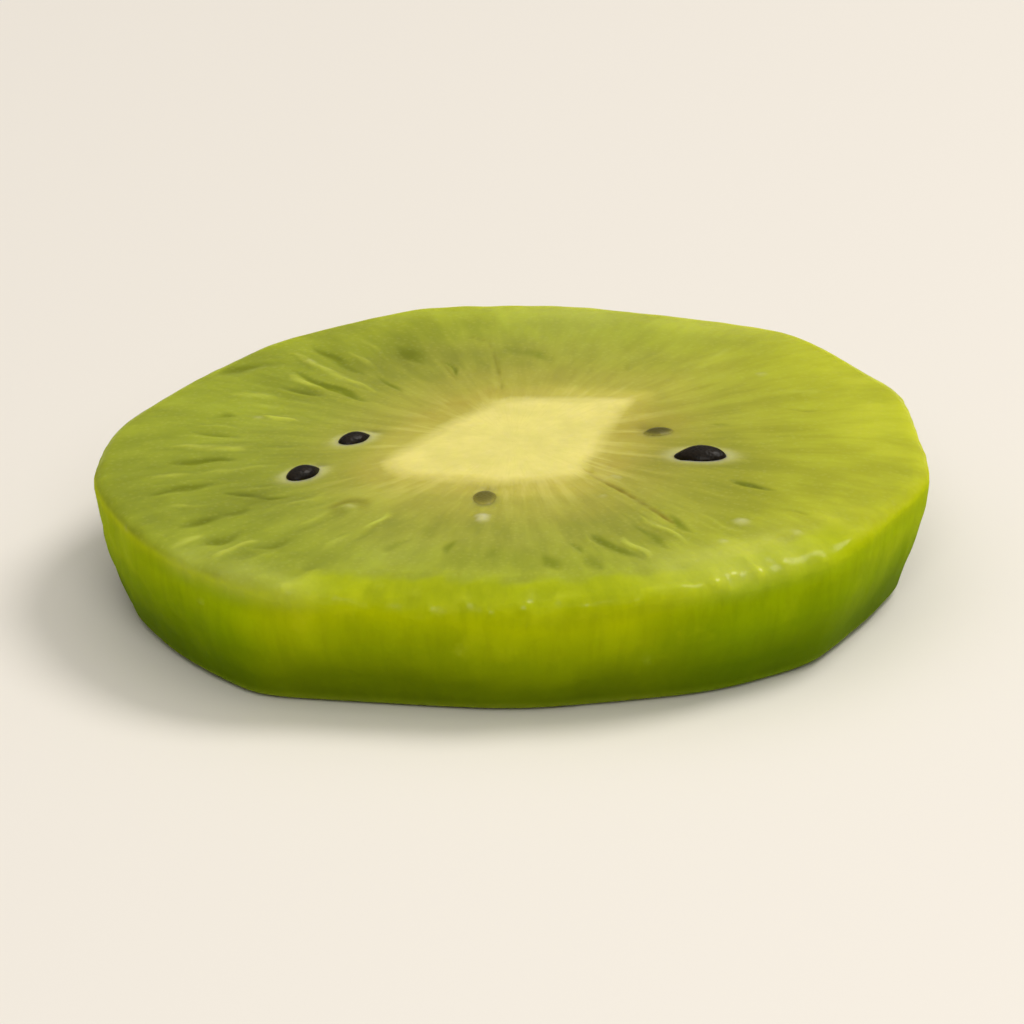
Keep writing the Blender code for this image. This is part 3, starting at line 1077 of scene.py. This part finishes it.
def seed_material():
    """Black-brown seed coats with fine pits, wet, some of them under a film of flesh."""
    nodes = Nodes("wet_kiwi_seed")
    place = place_in_mm(nodes)
    pits = cells(nodes, place, 5.5)
    mottle = nodes.noise(place, 1.6, 3.0)
    colour = nodes.mix(nodes.spread(pits, 0.1, 0.55), SEED_BLACK, SEED_PITS)
    colour = nodes.mix(nodes.spread(mottle, 0.45, 0.7, 0.0, 0.5), colour, SEED_BROWN)
    colour = nodes.mix(nodes.attribute("film"), colour, SEED_FILM)
    nodes.link(colour, nodes.shader.inputs["Base Color"])
    nodes.link(nodes.bump(pits, 0.05 * MM, 0.6), nodes.shader.inputs["Normal"])
    nodes.finish(SEED_FINISH)
    return nodes.material


def floor_material():
    nodes = Nodes("pale_floor")
    nodes.finish(FLOOR_FINISH)
    return nodes.material


# -------------------------------- pieces


def over_origin(x, y, z):
    """A place told from the middle of the faces becomes one of the finished slice."""
    away_x = FACE_MIDDLE[0] - BOX_MIDDLE[0]
    away_y = FACE_MIDDLE[1] - BOX_MIDDLE[1]
    return Vector((x + away_x, y + away_y, z))


def rim_spot(flesh, direction, height):
    """Where the side or rim is met by a level line from outside."""
    turn = math.radians(direction)
    outward = Vector((math.cos(turn), math.sin(turn), 0))
    _, spot, _, _ = flesh.ray_cast(over_origin(0, 0, height * MM) + outward * 40 * MM, -outward)
    return spot


def face_spot(flesh, x, y):
    _, spot, _, _ = flesh.ray_cast(over_origin(x * MM, y * MM, 20 * MM), Vector((0, 0, -1)))
    return spot


def raise_bumps(flesh):
    """Low, wet bumps, each a soft cap raised out of the flesh, some with a painted whitish glint.
    """
    mesh = flesh.data
    points = mesh_points(mesh)
    normals = np.empty(len(mesh.vertices) * 3)
    mesh.vertices.foreach_get("normal", normals)
    bumps = [(rim_spot(flesh, turn, height), width, 0) for turn, height, width in RIM_BUMPS]
    bumps += [(face_spot(flesh, x, y), width, glint_whiteness) for x, y, width, glint_whiteness in FACE_BUMPS]
    rise = np.zeros(len(points))
    glint = np.zeros(len(points))
    pale = np.zeros(len(points))
    for spot, half_width, glint_whiteness in bumps:
        away = np.linalg.norm(points - np.array(spot), axis=1) / (half_width * MM)
        cap = np.clip(1 - away**2, 0, 1) ** 1.5
        rise += BUMP_RISE * half_width * MM * cap
        glint = np.maximum(glint, cap)
        # painted glint: how white the bump is painted
        pale = np.maximum(pale, glint_whiteness * cap)
    points += normals.reshape(-1, 3) * rise[:, None]
    mesh.vertices.foreach_set("co", points.ravel())
    mesh.update()
    write_attribute(mesh, "glint", glint)
    write_attribute(mesh, "pale", pale)


def make_flesh():
    flesh = turn_blank()
    shape_flesh(flesh)
    raise_bumps(flesh)
    flesh.data.materials.append(flesh_material())
    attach(flesh, "root")
    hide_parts("kiwi_slice")


def select_ring(seed, x):
    """The ring of corners of a seed that lies at one x."""
    corners = bmesh.from_edit_mesh(seed.data)
    for corner in corners.verts:
        corner.select = abs(corner.co.x - x) < 1e-4
    corners.select_flush_mode()
    bmesh.update_edit_mesh(seed.data)


def seed_pattern():
    """One seed of length 1, drawn out to a point at its +X end."""
    deselect_all()
    bpy.ops.mesh.primitive_uv_sphere_add(
        segments=SEED_SIDES, ring_count=SEED_RINGS, radius=0.5, rotation=(0, math.pi / 2, 0)
    )
    seed = bpy.context.object
    bpy.ops.object.transform_apply(location=False, rotation=True, scale=False)
    bpy.ops.object.mode_set(mode="EDIT")
    bpy.ops.mesh.select_mode(type="VERT")
    bpy.ops.mesh.select_all(action="SELECT")
    middle = (0, 0, 0)
    bpy.ops.transform.resize(value=(1, SEED_WIDTH, SEED_HEIGHT), center_override=middle)
    for ring in range(SEED_RINGS // 2):
        forward = math.cos(math.pi * ring / SEED_RINGS)
        select_ring(seed, 0.5 * forward)
        narrowed = 1 - SEED_TAPER * forward**2
        bpy.ops.transform.resize(value=(1, narrowed, narrowed), center_override=middle)
        bpy.ops.transform.translate(value=(SEED_POINT * forward**3, 0, 0))
    bpy.ops.object.mode_set(mode="OBJECT")
    bpy.ops.object.shade_smooth()
    return seed


def place_seed(pattern, place, turn, length, film):
    """A film of flesh over a seed is thinnest on its crown and hides its foot."""
    seed = pattern.copy()
    seed.data = pattern.data.copy()
    seed.location = place
    seed.rotation_euler = (0, 0, math.radians(turn))
    size = length * MM
    seed.scale = (size, size, size)
    bpy.context.scene.collection.objects.link(seed)
    heights = place[2] + mesh_points(seed.data)[:, 2] * size
    risen = np.clip((heights - FILM_EDGE) / (heights.max() - FILM_EDGE), 0, 1)
    hidden = film + (1 - film) * (1 - risen) ** 3 if film else np.zeros(len(heights))
    write_attribute(seed.data, "film", hidden)
    return seed


def place_seeds(pattern):
    seeds = []
    for x, y, turn, length, stands_out, film in TOP_SEEDS:
        z = SEEDS_FACE + (stands_out - SEED_HEIGHT * 0.5 * length) * MM
        place = (x * MM - BOX_MIDDLE[0], y * MM - BOX_MIDDLE[1], z)
        seeds.append(place_seed(pattern, place, turn, length, film))
    for x, y, turn, length in BOTTOM_SEEDS:
        place = over_origin(x * MM, y * MM, SEED_HEIGHT * 0.5 * length * MM + SEED_CLEARANCE)
        seeds.append(place_seed(pattern, place, turn, length, 0.0))
    return seeds


def make_seeds():
    """Copies of one seed become one piece, which lies at the origin."""
    pattern = seed_pattern()
    copies = place_seeds(pattern)
    bpy.data.objects.remove(pattern, do_unlink=True)
    deselect_all()
    for seed in copies:
        seed.select_set(True)
    bpy.context.view_layer.objects.active = copies[0]
    bpy.ops.object.join()
    bpy.ops.object.transform_apply(location=True, rotation=True, scale=True)
    seeds = bpy.context.object
    seeds.name = "kiwi_seeds"
    seeds.data.name = "kiwi_seeds"
    seeds.data.materials.append(seed_material())
    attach(seeds, "root")


# -------------------------------- studio


def make_camera():
    data = bpy.data.cameras.new("camera")
    data.sensor_width = SENSOR
    data.lens = SENSOR * CAMERA_DISTANCE / FRAME_WIDTH
    data.clip_start = 0.01
    camera = bpy.data.objects.new("camera", data)
    away = CAMERA_DISTANCE * math.cos(CAMERA_ELEVATION)
    rise = CAMERA_DISTANCE * math.sin(CAMERA_ELEVATION)
    camera.location = (0, -away, CAMERA_AIM + rise)
    camera.rotation_euler = (math.pi / 2 - CAMERA_ELEVATION, 0, 0)
    bpy.context.scene.collection.objects.link(camera)
    bpy.context.scene.camera = camera


def make_floor():
    deselect_all()
    bpy.ops.mesh.primitive_plane_add(size=FLOOR_SIZE, location=(0, 0, -FLOOR_GAP))
    floor = bpy.context.object
    floor.name = "floor"
    floor.data.materials.append(floor_material())


def soft_light(name, place, size, power, colour):
    data = bpy.data.lights.new(name, "AREA")
    data.shape = "DISK"
    data.size = size
    data.energy = power
    data.color = colour
    light = bpy.data.objects.new(name, data)
    light.location = place
    direction = np.subtract(LIGHT_AIM, place)
    tilt = math.atan2(math.hypot(direction[0], direction[1]), -direction[2])
    heading = math.atan2(direction[1], direction[0])
    light.rotation_euler = (tilt, 0, heading - math.pi / 2)
    bpy.context.scene.collection.objects.link(light)


def make_sky():
    """Soft light from all round, brighter overhead than near the horizon."""
    world = bpy.data.worlds.new("studio")
    world.use_nodes = True
    tree = world.node_tree
    heading = tree.nodes.new("ShaderNodeTexCoord")
    parts = tree.nodes.new("ShaderNodeSeparateXYZ")
    tree.links.new(heading.outputs["Generated"], parts.inputs[0])
    ramp = tree.nodes.new("ShaderNodeValToRGB")
    for element, (place, colour) in zip(ramp.color_ramp.elements, (HORIZON, OVERHEAD)):
        element.position = place
        element.color = colour
    tree.links.new(parts.outputs["Z"], ramp.inputs[0])
    tree.links.new(ramp.outputs[0], tree.nodes["Background"].inputs["Color"])
    bpy.context.scene.world = world


def make_lights():
    for name, (place, size, power, colour) in LIGHTS.items():
        soft_light(name, place, size, power, colour)
    make_sky()


make_camera()
make_flesh()
make_seeds()
make_floor()
make_lights()
bpy.context.scene.view_settings.view_transform = "Standard"
